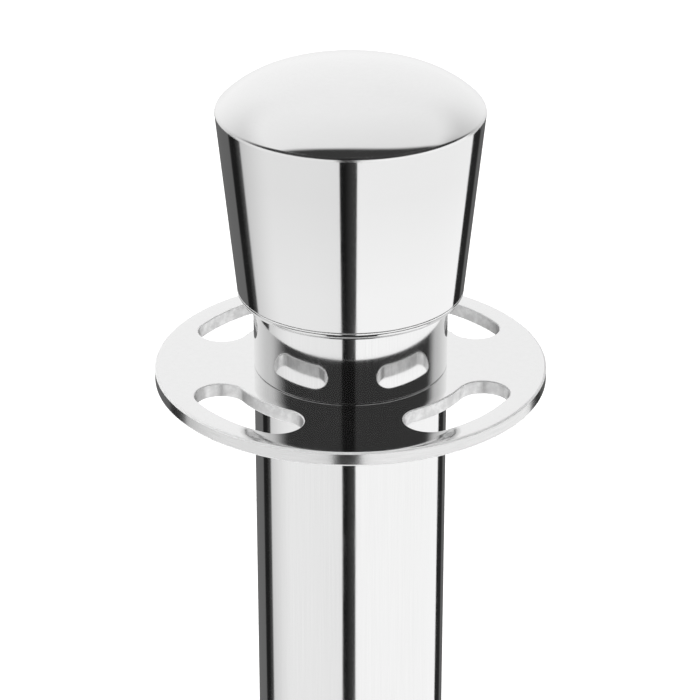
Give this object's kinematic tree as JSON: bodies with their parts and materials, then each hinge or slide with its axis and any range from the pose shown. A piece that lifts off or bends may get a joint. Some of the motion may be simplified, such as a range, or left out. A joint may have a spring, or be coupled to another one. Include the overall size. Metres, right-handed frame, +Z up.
{
  "type": "rope barrier post",
  "caption": "Free-standing polished steel rope barrier post with a weighted round base, a slotted ring plate for rope hooks and a screw-on flared head.",
  "frame": {"origin": "on the floor, at the post's axis", "axes": "+Z up along the post; +X and +Y each through the middle of a rope-hook slot"},
  "size_m": [0.321, 0.321, 1],
  "materials": {
    "polished_steel": "mirror-polished stainless steel",
    "turned_steel": "turned, bare",
    "zinc_steel": "bright zinc plate",
    "nylon": "matt",
    "rubber": "matt, moulded",
    "cast_iron": "as cast, painted black"
  },
  "bodies": {
    "stand": {"post_tube": "polished_steel", "post_top_insert": "turned_steel", "post_bottom_insert": "turned_steel", "foot_dowels": "turned_steel", "foot_gasket": "rubber", "foot_collar": "polished_steel", "base_cover": "polished_steel", "base_weight": "cast_iron", "base_rubber_ring": "rubber", "base_plain_washer": "zinc_steel", "base_spring_washer": "zinc_steel", "base_bolt": "zinc_steel"},
    "ring": {"ring_plate": "polished_steel"},
    "washer": {"thrust_washer": "nylon"},
    "head": {"head_cup": "polished_steel", "head_base_ring": "polished_steel", "neck_tube": "polished_steel", "neck_insert": "turned_steel", "head_stud": "zinc_steel", "stud_spring_washer": "zinc_steel", "stud_lock_nut": "zinc_steel"}
  },
  "joints": [
    {"name": "ring_turn", "type": "hinge", "parent": "stand", "child": "ring", "pos_m": [0, 0, 0.9144], "axis": [0, 0, 1], "continuous": true},
    {"name": "head_lift", "type": "slide", "parent": "stand", "child": "washer", "axis": [0, 0, 1], "range_m": [0, 0.0141]},
    {"name": "head_unscrew", "type": "hinge", "parent": "washer", "child": "head", "pos_m": [0, 0, 0.9183], "axis": [0, 0, 1], "range_deg": [0, 2880]}
  ],
  "couplings": [
    {"joint": "head_lift", "follows": "head_unscrew", "m_per_rad": 0.00027852}
  ]
}
